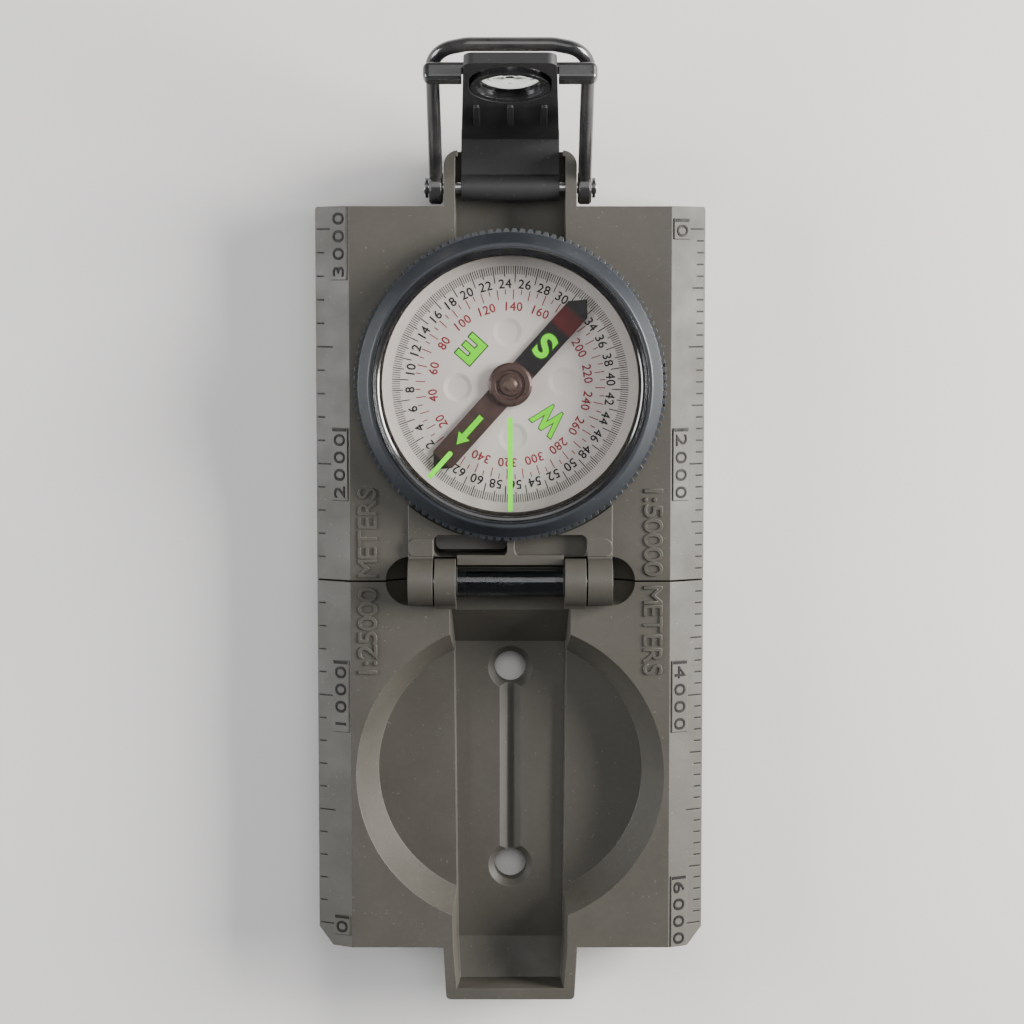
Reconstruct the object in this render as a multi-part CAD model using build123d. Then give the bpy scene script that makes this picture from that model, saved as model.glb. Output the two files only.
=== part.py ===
from build123d import *
import math
import os

# A folding sighting compass, in millimetres, opened flat.
# The origin is on the underside, straight below the dial's pivot. +Z is up out of the dial, +Y runs
# from the lid towards the lens bracket, and +X is to the right.

# ---- driving dimensions ----
HALF_W = 33.25             # half the width of case and lid
THICK = 12.5               # height of the flat main face of each half
BEVEL_W = 5.9              # width of the bevel that carries a map scale
BEVEL_DROP = 3.2
CASE_REAR = 30.2
HALF_GAP = 0.15            # clearance of each half from the hinge plane
HINGE_Y = -33.6
HINGE_Z = 13.7
LID_LENGTH = 63.65
PLATE_T = 1.6              # base plate
SHELL_WALL = 2.0
HOLLOW_TOP = 8.2           # underside of the case's top skin
CASE_CORNER = 0.3          # how far each half's outer corners are cut back across X
LID_CORNER = 2.5
CORNER_SLOPE = 1.2         # and how much further along Y
SCREWS = [(28.5, 25.0), (-28.5, 25.0), (28.5, -27.5), (-28.5, -27.5)]
SCREW_TIP = 6.5
SCREW_HEAD_R = 1.9
SCREW_HEAD_T = 1.0
BOSS_R = 2.6

# dial well, collar and capsule
WELL_R = 23.9
COLLAR_R = 24.9
COLLAR_TOP = 15.0
LIP_R = 22.6
LIP_Z = 14.4
WINDOW_T = 1.0
GASKET_T = 0.5
BOWL_R = 23.8
BOWL_WALL = 0.9
BOWL_BASE = 3.2
BOWL_FLOOR_T = 1.2
FILLER_AT = (12.0, 12.0)
FILLER_R = 1.5
INDEX_HALF = 0.4           # the fixed luminous line
INDEX_Y = (-21.5, -5.4)
INDEX_T = 0.15

# turning bezel
BEZEL_BASE = 12.8
BEZEL_R = 26.5
TOOTH_DEPTH = 0.6
TOOTH_COUNT = 122
TOOTH_TOP = 14.5
CONE_R = 25.8
BEZEL_TOP = 17.3
BEZEL_RIM_R = 23.9
BEZEL_SEAT_R = 23.4
BEZEL_LEDGE_Z = 15.15
CRYSTAL_Z = 15.7
CRYSTAL_T = 0.9
VISIBLE_R = 22.1           # inside of the ring that frames the dial
RUNNING_GAP = 0.05         # radial clearance of every running fit
BEZEL_LINE_BEARING = 221.5
BEZEL_LINE_HALF = 0.42
BEZEL_LINE_REACH = (15.0, 20.9)
SNAP_Z = (13.45, 13.95)    # the open ring that holds the bezel on
SNAP_R = (24.45, 25.3)
SPRING_X = (25.25, 26.05)  # the click spring's width, and its pocket's clearance
SPRING_HALF = 3.8
SPRING_T = 0.2
SPRING_Z = 11.25

# card
CARD_Z = 10.5
CARD_T = 0.4
CARD_R = 21.9
NORTH_BEARING = 222.0      # where the card's north points, clockwise from +Y
POINTER_W = 4.3
POINTER_REACH = 19.5
POINTER_T = 0.6
HUB_R = 3.75
JEWEL_R = 1.3
DIMPLE_R = 2.3             # shallow round hollows in the card
DIMPLE_AT = 9.0
DIMPLE_DEPTH = 0.14
MAGNET_HALF = (2.0, 14.0)
MAGNET_T = 1.6

# hinge
KNUCKLE_R = 4.0
TROUGH_R = 4.4
TROUGH_END = 21.5
CASE_KNUCKLE = (13.2, 17.4)
LID_KNUCKLE = (9.3, 12.9)
PIN_R = 1.0
PIN_REACH = (9.8, 17.0)
VIAL_R = 2.6
VIAL_BORE_R = 1.9
VIAL_HALF = 9.0
PLUG_IN = 7.6
WINDOW_Y = (-29.3, -25.6)  # the opening between the hinge and the bezel
SLOT_X = (-13.1, -0.5)     # its left part goes right through, for a lanyard
POCKET_X = (0.7, 13.1)     # its right part is a shallow pocket
POCKET_FLOOR = 11.2
WINDOW_ROUND = 1.1
BLOCK_BACK = -18.0
BLOCK_RISE = 0.5
EAR_Y = (-29.4, -26.2)
EAR_RISE = 1.0
EAR_ROUND = 1.4
LEVEL_WALL_Y = (-30.75, -29.1)  # a low wall of the case between the level and the window
LEVEL_WALL_TOP = 13.0
LEVEL_GAP = 0.2            # clearance between that wall and what turns with the lid

# rear tongue, lens bracket and thumb loop
TONGUE_HALF = 11.25
TONGUE_WALL_IN = 9.35
TONGUE_END = 39.6
TONGUE_FLOOR = 6.5
PIVOT_Y = 33.4
PIVOT_Z = 9.8
BARREL_R = 2.2
STRAP_LEAN = 73.4          # degrees of the strap above the outward horizontal
STRAP_OFFSET = 9.2         # the strap's middle plane lies this far from the pivot
STRAP_T = 1.8
STRAP_HALF_LOW = 8.35
STRAP_HALF_TOP = 7.35
STRAP_TOP = 36.3
RIB_PITCH = 5.6            # three ribs stiffen the strap below the lens
RIB_HALF = 0.5
RIB_REACH = (8.5, 17.6)
RIB_RISE = 0.45
LENS_AT = 25.2
LENS_R = 5.5
CROSSBAR_AT = 28.0
CROSSBAR_HALF = 14.0
CROSSBAR_T = 3.0
CROSSBAR_H = 3.2
FOCUS_TRAVEL = 3.0
LOOP_LEAN = 47.0
LOOP_REACH = 32.5
LOOP_HALF = 12.6
LOOP_DOME = (7.0, 0.2, 1.6)  # half its flat top, then the drops at that and at the corners
WIRE_R = 1.15
EYE_R = 2.8
EYE_CHAMFER = 0.35
WIRE_TURN_R = 4.5
REAR_PIN_HALF = 14.6
CLIP_R = 1.7
CLIP_X = (13.9, 14.4)
TONGUE_ROUND = 2.5

# lid
RECESS_Y = -67.2
RECESS_MOUTH_R = 26.5
RECESS_FLOOR_R = 23.0
RECESS_FLOOR = 5.6
LID_SKIN_Z = 7.9           # underside of the lid's plate
LID_RIM_Z = 6.0
CHANNEL_FLOOR = 4.2
CHANNEL_HALF = (10.4, 9.9)    # at the hinge end and at the outer end
SILL_Z = 9.9               # a shelf under the level
SILL_END = -38.8
RAMP_FOOT = -45.0          # from the shelf's edge the channel slopes down to its floor here
TONGUE_RISE = 2.8          # how much the floor rises in the tongue
SPINE_HALF = 12.7
LID_TONGUE_HALF = (11.65, 11.1)
LID_TONGUE_END = -106.6
SIGHT_HOLE_R = 2.8
SIGHT_HOLE_AT = 17.5
SIGHT_GROOVE_HALF = 1.85
SIGHT_GROOVE_FLOOR = 0.5   # half the width of the groove's floor
SIGHT_GROOVE_DEPTH = 1.2
SIGHT_CHAMFER = 1.05
CHANNEL_DRAFT = 0.75       # how far the channel's walls lean in at its floor
HINGE_BLOCK = 7.0

# map scales: one graduation is a tenth of a kilometre on either scale
SCALE_LENGTH = 120.0
TICK_W = 0.22
TICK_DEPTH = 0.22

WINDOW_Z = LIP_Z - WINDOW_T
GASKET_Z = WINDOW_Z - GASKET_T
CARD_TOP = CARD_Z + CARD_T
POINTER_TOP = CARD_TOP + POINTER_T
BEVEL_SLOPE = math.degrees(math.atan2(BEVEL_DROP, BEVEL_W))
LID_FRONT = HINGE_Y - HALF_GAP
LID_END = LID_FRONT - LID_LENGTH
CASE_FRONT = HINGE_Y + HALF_GAP
CHANNEL_END = LID_TONGUE_END + 1.9
SIGHT_HOLES = (RECESS_Y + SIGHT_HOLE_AT, RECESS_Y - SIGHT_HOLE_AT)
STRAP_IN = -STRAP_OFFSET + STRAP_T / 2      # the strap's inner face
STRAP_OUT = -STRAP_OFFSET - STRAP_T / 2     # its outer face, which backs onto the holder's plate
HOLDER_R = LENS_R + 1.0
HOLDER_OUT = STRAP_OUT - 1.4
LENS_SEAT = HOLDER_OUT + 0.5
LENS_EDGE = 1.1


# ---- helpers ----
def box(x, y, z):
    """A box from its low and high limits along each axis."""
    size = [abs(b - a) for a, b in (x, y, z)]
    centre = [(a + b) / 2 for a, b in (x, y, z)]
    return Pos(*centre) * Box(*size)


def disc(r, z0, z1, x=0.0, y=0.0):
    """An upright cylinder from z0 to z1."""
    return Pos(x, y, (z0 + z1) / 2) * Cylinder(r, z1 - z0)


def ring(r_out, r_in, z0, z1):
    return disc(r_out, z0, z1) - disc(r_in, z0 - 1, z1 + 1)


def rod(r, x0, x1, y, z):
    """A cylinder along X."""
    return Pos((x0 + x1) / 2, y, z) * Rot(0, 90, 0) * Cylinder(r, x1 - x0)


def turned(points):
    """A solid of revolution about Z from its (radius, height) outline."""
    outline = Polyline(*[(r, 0, z) for r, z in points], close=True)
    return revolve(make_face(outline), axis=Axis.Z)


def slab(points, z0, z1):
    """An upright prism on an (x, y) outline."""
    outline = Polyline(*[(x, y, z0) for x, y in points], close=True)
    return extrude(make_face(outline), z1 - z0, dir=(0, 0, 1))


def side_prism(points, x0, x1):
    """A prism along X on a (y, z) outline."""
    outline = Polyline(*[(x0, y, z) for y, z in points], close=True)
    return extrude(make_face(outline), x1 - x0, dir=(1, 0, 0))


def both_sides(part):
    return part + mirror(part, Plane.YZ)


def on_card(part):
    """Turns a piece drawn with north along +Y to where the card points."""
    return Rot(0, 0, -NORTH_BEARING) * part


def on_strap(part):
    """Places a piece drawn on the strap's own axes: Y along the strap from the pivot, Z to its inner face."""
    return Pos(0, PIVOT_Y, PIVOT_Z) * Rot(STRAP_LEAN, 0, 0) * part


def save(name, *parts):
    """Writes one sub-part, as one solid or as a group of separate ones."""
    solids = [s for part in parts for s in part.solids()]
    shape = solids[0] if len(solids) == 1 else Compound(children=solids)
    shape.label = name
    export_step(shape, f"parts/{name}.step")


def half_body(y0, y1, z0, corner):
    """The outer block of one half, with a bevel along each side and its far corners cut back."""
    low = THICK - BEVEL_DROP
    flat = HALF_W - BEVEL_W
    outline = [(-HALF_W, z0), (HALF_W, z0), (HALF_W, low), (flat, THICK), (-flat, THICK), (-HALF_W, low)]
    face = make_face(Polyline(*[(x, y0, z) for x, z in outline], close=True))
    body = extrude(face, abs(y1 - y0), dir=(0, math.copysign(1, y1 - y0), 0))
    back = y1 - math.copysign(CORNER_SLOPE * (corner + 1), y1 - y0)
    cut = slab([(HALF_W - corner, y1), (HALF_W + 1, y1), (HALF_W + 1, back)], -1, THICK + 1)
    return body - both_sides(cut)


def scale_ticks(side, y_low, y_high):
    """Engraved graduations of one map scale. Each is a thin blade cut into the bevel."""
    spacing = 4.0 if side < 0 else 2.0
    zero_y = HINGE_Y + side * SCALE_LENGTH / 2
    blades = []
    for i in range(round(SCALE_LENGTH / spacing) + 1):
        y = zero_y - side * i * spacing
        if not y_low + 0.4 < y < y_high - 0.4:
            continue
        if side < 0:
            length = 3.1 if i % 5 == 0 else 1.4
        else:
            length = 2.9 if i % 10 == 0 else (2.2 if i % 5 == 0 else 1.35)
        low_edge = Pos(side * HALF_W, y, THICK - BEVEL_DROP) * Rot(0, side * BEVEL_SLOPE, 0)
        blades.append(low_edge * Pos(-side * (length / 2 + 0.35), 0, 0) * Box(length, TICK_W, 2 * TICK_DEPTH))
    return blades


# ---- case ----
def case_body():
    body = half_body(CASE_FRONT, CASE_REAR, PLATE_T, CASE_CORNER)
    # hollow underneath, outside the dial well, with bosses for the screws
    wide = HALF_W - SHELL_WALL
    inner = box((-wide, wide), (CASE_FRONT + SHELL_WALL, CASE_REAR - SHELL_WALL), (0, HOLLOW_TOP))
    inner -= disc(WELL_R + SHELL_WALL, 0, THICK)
    inner -= box((-TROUGH_END - SHELL_WALL, TROUGH_END + SHELL_WALL), (CASE_FRONT, -22), (0, THICK))
    inner -= box((-TONGUE_HALF, TONGUE_HALF), (20, CASE_REAR), (0, THICK))
    for x, y in SCREWS:
        inner -= disc(BOSS_R, 0, THICK, x, y)
    body -= inner
    # rear tongue, a channel between two walls
    tongue = box((-TONGUE_HALF, TONGUE_HALF), (CASE_REAR - 1, TONGUE_END), (PLATE_T, THICK))
    tongue = fillet(tongue.edges().filter_by(Axis.Z).sort_by(Axis.Y)[-2:], TONGUE_ROUND)
    body += tongue
    # block in front of the bezel, with the two ears beside the window
    block = box((-CASE_KNUCKLE[1], CASE_KNUCKLE[1]), (CASE_FRONT, BLOCK_BACK), (THICK - 2, THICK + BLOCK_RISE))
    ear = box(CASE_KNUCKLE, EAR_Y, (THICK - 2, THICK + EAR_RISE))
    block += both_sides(fillet(ear.edges().filter_by(Axis.Z).sort_by(Axis.X)[-2:], EAR_ROUND))
    body += block - disc(BEZEL_R + 0.35, THICK, THICK + 2)
    # collar for the bezel, with the snap ring's groove
    body += disc(COLLAR_R, PLATE_T, COLLAR_TOP)
    body -= disc(WELL_R, 0, LIP_Z)
    body -= disc(LIP_R, LIP_Z - 1, COLLAR_TOP + 1)
    body -= ring(COLLAR_R + 0.2, COLLAR_R - 0.5, 13.4, 14.0)
    # strap channel, running in from the tongue to the collar
    channel = box((-TONGUE_WALL_IN, TONGUE_WALL_IN), (20, TONGUE_END - 1.0), (TONGUE_FLOOR, THICK + 1))
    mouth = TONGUE_WALL_IN - 0.4
    channel += box((-mouth, mouth), (20, TONGUE_END + 1), (TONGUE_FLOOR, THICK + 1))
    body -= channel - disc(COLLAR_R + 0.2, 0, THICK + 2)
    # window in front of the bezel: a lanyard slot on the left, a shallow pocket on the right
    body -= lanyard_slot()
    body -= window(POCKET_X, (POCKET_FLOOR, THICK + 2))
    # half of the hinge trough, then the outer knuckles
    body -= trough()
    wall_half = LID_KNUCKLE[0] - LEVEL_GAP
    wall = box((-wall_half, wall_half), LEVEL_WALL_Y, (HOLLOW_TOP, LEVEL_WALL_TOP))
    body += wall - rod(VIAL_R + LEVEL_GAP, -wall_half - 1, wall_half + 1, HINGE_Y, HINGE_Z)
    web = side_prism([(HINGE_Y, 8.2), (-28.6, 8.2), (-28.6, THICK + BLOCK_RISE), (HINGE_Y, HINGE_Z + 2)],
                     *CASE_KNUCKLE)
    knuckle = web + rod(KNUCKLE_R, *CASE_KNUCKLE, HINGE_Y, HINGE_Z)
    body += both_sides(knuckle)
    body -= both_sides(rod(PIN_R, CASE_KNUCKLE[0] - 1, PIN_REACH[1], HINGE_Y, HINGE_Z))
    # rear pivot hole, screw holes and the click spring's pocket
    body -= rod(PIN_R, -20, 20, PIVOT_Y, PIVOT_Z)
    for x, y in SCREWS:
        body -= disc(PIN_R, 0, SCREW_TIP, x, y)
    body -= spring_pocket()
    for blade in scale_ticks(-1, CASE_FRONT, CASE_REAR) + scale_ticks(1, CASE_FRONT, CASE_REAR):
        body -= blade
    return body


def trough():
    """The stadium pocket round the hinge line, with ball ends."""
    pocket = rod(TROUGH_R, -TROUGH_END + TROUGH_R, TROUGH_END - TROUGH_R, HINGE_Y, HINGE_Z)
    return pocket + both_sides(Pos(TROUGH_END - TROUGH_R, HINGE_Y, HINGE_Z) * Sphere(TROUGH_R))


def window(x, z):
    """An upright opening between the hinge and the bezel, with rounded corners."""
    return fillet(box(x, WINDOW_Y, z).edges().filter_by(Axis.Z), WINDOW_ROUND)


def lanyard_slot():
    return window(SLOT_X, (-1, THICK + 2))


def spring_pocket():
    room = 0.15
    return box((SPRING_X[0] - room, SPRING_X[1] + room), (-SPRING_HALF - room, SPRING_HALF + room),
               (SPRING_Z - 0.05, THICK + 1))


def click_spring():
    """A leaf spring, bent up to bear under the bezel."""
    bend, crest = SPRING_HALF / 2, BEZEL_BASE - 0.25
    path = [(-SPRING_HALF, SPRING_Z), (-bend, SPRING_Z), (0, crest), (bend, SPRING_Z), (SPRING_HALF, SPRING_Z)]
    upper = [(y, z + SPRING_T) for y, z in reversed(path)]
    return side_prism(path + upper, *SPRING_X)


def base_plate():
    side, round_y = HALF_W - CASE_CORNER, TONGUE_END - TONGUE_ROUND
    right = [(TONGUE_HALF - TONGUE_ROUND, TONGUE_END), (TONGUE_HALF, round_y), (TONGUE_HALF, CASE_REAR),
             (side, CASE_REAR), (HALF_W, CASE_REAR - CORNER_SLOPE * CASE_CORNER), (HALF_W, CASE_FRONT)]
    left = [(-x, y) for x, y in reversed(right)]
    plate = slab(right + left, 0, PLATE_T)
    plate += disc(LIP_R, PLATE_T, BOWL_BASE)
    plate -= lanyard_slot()
    for x, y in SCREWS:
        plate -= disc(PIN_R, -1, 3, x, y)
        plate -= screw_head(x, y)
    return plate


def screw_head(x, y):
    return Pos(x, y, SCREW_HEAD_T / 2) * Cone(SCREW_HEAD_R, PIN_R, SCREW_HEAD_T)


def base_screws():
    """Countersunk screws with a cross recess, flush with the plate."""
    screws = []
    for x, y in SCREWS:
        screw = screw_head(x, y) + disc(PIN_R, SCREW_HEAD_T - 0.1, SCREW_TIP, x, y)
        for turn in (0, 90):
            screw -= Pos(x, y, 0.25) * Rot(0, 0, turn) * Box(2.2, 0.45, 0.5)
        screws.append(screw)
    return screws


# ---- capsule ----
def capsule_bowl():
    bowl = disc(BOWL_R, BOWL_BASE, GASKET_Z)
    bowl -= disc(BOWL_R - BOWL_WALL, BOWL_BASE + BOWL_FLOOR_T, GASKET_Z + 1)
    bowl -= disc(PIN_R, BOWL_BASE, BOWL_BASE + 2)
    return bowl - disc(FILLER_R, BOWL_BASE, BOWL_BASE + 2, *FILLER_AT)


def pivot_post():
    """A steel post with a pointed tip, pressed into the bowl's floor."""
    return turned([(0, BOWL_BASE), (PIN_R, BOWL_BASE), (PIN_R, CARD_Z - 1.0), (0.45, CARD_Z),
                   (0.1, CARD_TOP + 0.35), (0, CARD_TOP + 0.4)])


def index_line():
    """The fixed luminous line on the window, from the hub's edge to the rim on the lid's side."""
    line = box((-INDEX_HALF, INDEX_HALF), INDEX_Y, (LIP_Z, LIP_Z + INDEX_T))
    return fillet(line.edges().filter_by(Axis.Z), INDEX_HALF - 0.01)


# ---- card ----
def card_disc():
    card = ring(CARD_R, JEWEL_R, CARD_Z, CARD_TOP)
    ball = (DIMPLE_R ** 2 + DIMPLE_DEPTH ** 2) / (2 * DIMPLE_DEPTH)
    for turn in range(4):
        card -= Rot(0, 0, 45 + 90 * turn) * Pos(0, DIMPLE_AT, CARD_TOP - DIMPLE_DEPTH + ball) * Sphere(ball)
    return on_card(card)


def pointer_bar():
    """A flat bar across the card, pointed at both ends, with a round middle."""
    w, shoulder = POINTER_W / 2, POINTER_REACH - 2.3
    outline = [(-w, shoulder), (0, POINTER_REACH), (w, shoulder),
               (w, -shoulder), (0, -POINTER_REACH), (-w, -shoulder)]
    bar = slab(outline, CARD_TOP, POINTER_TOP) + disc(HUB_R, CARD_TOP, POINTER_TOP)
    return on_card(bar - disc(JEWEL_R, 0, 20))


def hub_cap():
    """A turned cap with two steps and a raised rim, open over the jewel."""
    top = POINTER_TOP
    return turned([(JEWEL_R, top), (HUB_R, top), (HUB_R, top + 0.45), (3.3, top + 0.7), (2.6, top + 0.7),
                   (2.4, top + 0.45), (2.0, top + 0.45), (1.8, top + 0.8), (JEWEL_R, top + 0.8)])


def jewel_bearing():
    """A bush with a conical cup that hangs on the post's point."""
    return turned([(0.62, CARD_Z), (JEWEL_R, CARD_Z), (JEWEL_R, POINTER_TOP + 0.7), (0.7, POINTER_TOP + 1.0),
                   (0, POINTER_TOP + 1.0), (0, CARD_TOP + 0.5), (0.2, CARD_TOP + 0.35)])


def bar_magnet():
    wide, long = MAGNET_HALF
    magnet = box((-wide, wide), (-long, long), (CARD_Z - MAGNET_T, CARD_Z))
    return on_card(magnet - disc(1.6, 0, 20))


# ---- bezel ----
def bezel_ring():
    bore = COLLAR_R + RUNNING_GAP
    body = turned([(bore, BEZEL_BASE), (BEZEL_R, BEZEL_BASE), (BEZEL_R, TOOTH_TOP), (CONE_R, TOOTH_TOP + 0.15),
                   (BEZEL_RIM_R + 0.2, BEZEL_TOP - 0.1), (BEZEL_RIM_R, BEZEL_TOP), (BEZEL_SEAT_R, BEZEL_TOP),
                   (BEZEL_SEAT_R, CRYSTAL_Z), (LIP_R, CRYSTAL_Z), (LIP_R, BEZEL_LEDGE_Z),
                   (bore, BEZEL_LEDGE_Z)])
    body -= ring(bore + 0.5, bore - 0.2, 13.25, 14.15)
    # milled edge: flat valleys between the teeth
    step, root = 360 / TOOTH_COUNT, BEZEL_R - TOOTH_DEPTH
    outline = []
    for i in range(TOOTH_COUNT):
        for share, r in ((-0.22, BEZEL_R), (0.22, BEZEL_R), (0.4, root), (0.6, root)):
            a = math.radians((i + share) * step)
            outline.append((r * math.cos(a), r * math.sin(a)))
    return body & slab(outline, BEZEL_BASE - 1, BEZEL_TOP + 1)


def bezel_crystal():
    return disc(BEZEL_SEAT_R - 0.02, CRYSTAL_Z, CRYSTAL_Z + CRYSTAL_T)


def crystal_retaining_ring():
    base = CRYSTAL_Z + CRYSTAL_T
    return turned([(VISIBLE_R, base), (BEZEL_SEAT_R - 0.02, base), (BEZEL_SEAT_R - 0.02, BEZEL_TOP + 0.1),
                   (BEZEL_SEAT_R - 0.35, BEZEL_TOP + 0.1), (BEZEL_SEAT_R - 0.65, BEZEL_TOP - 0.25),
                   (VISIBLE_R + 0.25, BEZEL_TOP - 0.3), (VISIBLE_R, base + 0.2)])


def bezel_retainer():
    """An open snap ring, half in the collar's groove and half in the bezel's."""
    snap = ring(SNAP_R[1], SNAP_R[0], *SNAP_Z)
    return snap - box((-30, -20), (-3, 3), (13, 15))


def bezel_line():
    """The short luminous line under the crystal, which turns with the bezel."""
    line = box((-BEZEL_LINE_HALF, BEZEL_LINE_HALF), BEZEL_LINE_REACH, (CRYSTAL_Z - INDEX_T, CRYSTAL_Z))
    line = fillet(line.edges().filter_by(Axis.Z), BEZEL_LINE_HALF - 0.01)
    return Rot(0, 0, -BEZEL_LINE_BEARING) * line


# ---- rear pivot ----
def rear_pin():
    return rod(PIN_R, -REAR_PIN_HALF, REAR_PIN_HALF, PIVOT_Y, PIVOT_Z)


def rear_pin_clips():
    """Push-on washers at the pin's two ends."""
    clip = rod(CLIP_R, *CLIP_X, PIVOT_Y, PIVOT_Z) - rod(PIN_R, 13, 15, PIVOT_Y, PIVOT_Z)
    return [clip, mirror(clip, Plane.YZ)]


def thumb_loop():
    """A round wire loop with a flattened eye at each end."""
    flat, drop, corner_drop = LOOP_DOME
    start_y = EYE_R - 0.6
    right = [(flat, LOOP_REACH - drop, 0), (LOOP_HALF, LOOP_REACH - corner_drop, 0), (LOOP_HALF, start_y, 0)]
    left = [(-x, y, z) for x, y, z in reversed(right)]
    route = FilletPolyline(*left, *right, radius=WIRE_TURN_R)
    start = Plane(origin=(-LOOP_HALF, start_y, 0), z_dir=(0, 1, 0))
    wire = sweep(start * Circle(WIRE_R), path=route)
    eye = rod(EYE_R, LOOP_HALF - WIRE_R, LOOP_HALF + WIRE_R, 0, 0)
    eye = chamfer(eye.edges(), EYE_CHAMFER) - rod(PIN_R + RUNNING_GAP, 0, 20, 0, 0)
    loop = wire + both_sides(eye)
    return Pos(0, PIVOT_Y, PIVOT_Z) * Rot(LOOP_LEAN, 0, 0) * loop


# ---- lens bracket, drawn on the strap's own axes ----
def lens_strap():
    """An offset strap: a barrel on the pin, a neck, and a tapering blade with a window for the lens."""
    foot = -STRAP_T / 2
    blade = Polyline((-STRAP_HALF_LOW, foot, STRAP_OUT), (-STRAP_HALF_TOP, STRAP_TOP, STRAP_OUT),
                     (STRAP_HALF_TOP, STRAP_TOP, STRAP_OUT), (STRAP_HALF_LOW, foot, STRAP_OUT), close=True)
    strap = extrude(make_face(blade), STRAP_T, dir=(0, 0, 1))
    strap = fillet(strap.edges().filter_by(Axis.Z).sort_by(Axis.Y)[-2:], 1.6)
    neck = box((-STRAP_HALF_LOW, STRAP_HALF_LOW), (foot, -foot), (STRAP_OUT, 0))
    strap += neck + rod(BARREL_R, -STRAP_HALF_LOW, STRAP_HALF_LOW, 0, 0)
    strap -= rod(PIN_R + RUNNING_GAP, -20, 20, 0, 0)
    window_r = HOLDER_R + 0.15
    for y in (LENS_AT, LENS_AT + FOCUS_TRAVEL):
        strap -= disc(window_r, STRAP_OUT - 1, STRAP_IN + 1, 0, y)
    strap -= box((-window_r, window_r), (LENS_AT, LENS_AT + FOCUS_TRAVEL), (STRAP_OUT - 1, STRAP_IN + 1))
    for x in (-RIB_PITCH, 0, RIB_PITCH):
        rib = box((x - RIB_HALF, x + RIB_HALF), RIB_REACH, (STRAP_IN - 0.2, STRAP_IN + RIB_RISE))
        strap += fillet(rib.edges().filter_by(Axis.Z), RIB_HALF - 0.05)
    return on_strap(strap)


def lens_holder():
    """The lens ring in the strap's window, on a plate behind it that carries a cross bar."""
    holder = disc(HOLDER_R, HOLDER_OUT, STRAP_IN - 0.1, 0, LENS_AT)
    plate_half = STRAP_HALF_TOP - 0.4
    holder += box((-plate_half, plate_half), (LENS_AT - HOLDER_R, CROSSBAR_AT), (HOLDER_OUT, STRAP_OUT - 0.12))
    bar = box((-CROSSBAR_HALF, CROSSBAR_HALF), (CROSSBAR_AT - CROSSBAR_H / 2, CROSSBAR_AT + CROSSBAR_H / 2),
              (STRAP_IN - CROSSBAR_T, STRAP_IN))
    bar = fillet(bar.edges().filter_by(Axis.X), 0.7)
    bar = fillet(bar.edges().filter_by(Axis.Z), 1.0)
    strap_gap = STRAP_HALF_TOP + 0.45
    bar -= box((-strap_gap, strap_gap), (0, STRAP_TOP), (STRAP_OUT - 0.12, 0))
    holder += bar
    holder -= disc(LENS_R, LENS_SEAT, 0, 0, LENS_AT)
    return on_strap(holder - disc(LENS_R - 0.7, HOLDER_OUT - 1, 0, 0, LENS_AT))


def magnifier_lens():
    """A double convex lens."""
    lens = turned([(0, LENS_SEAT - 0.35), (LENS_R - 0.75, LENS_SEAT), (LENS_R - 0.03, LENS_SEAT),
                   (LENS_R - 0.03, LENS_SEAT + LENS_EDGE), (LENS_R - 0.75, LENS_SEAT + LENS_EDGE),
                   (3.2, LENS_SEAT + LENS_EDGE + 0.45), (1.6, LENS_SEAT + LENS_EDGE + 0.65),
                   (0, LENS_SEAT + LENS_EDGE + 0.72)])
    return on_strap(Pos(0, LENS_AT, 0) * lens)


def lens_retaining_ring():
    snap = ring(LENS_R - 0.03, LENS_R - 0.7, LENS_SEAT + LENS_EDGE, LENS_SEAT + LENS_EDGE + 0.6)
    return on_strap(Pos(0, LENS_AT, 0) * snap)


# ---- lid ----
def channel_outline(inset, start):
    """The lid's channel: it narrows slightly from the hinge end to the end of the tongue."""
    near, far = CHANNEL_HALF[0] - inset, CHANNEL_HALF[1] - inset
    tip = far - 0.6
    end = CHANNEL_END + inset
    return [(-near, start), (near, start), (far, LID_END), (tip, end), (-tip, end), (-far, LID_END)]


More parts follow.
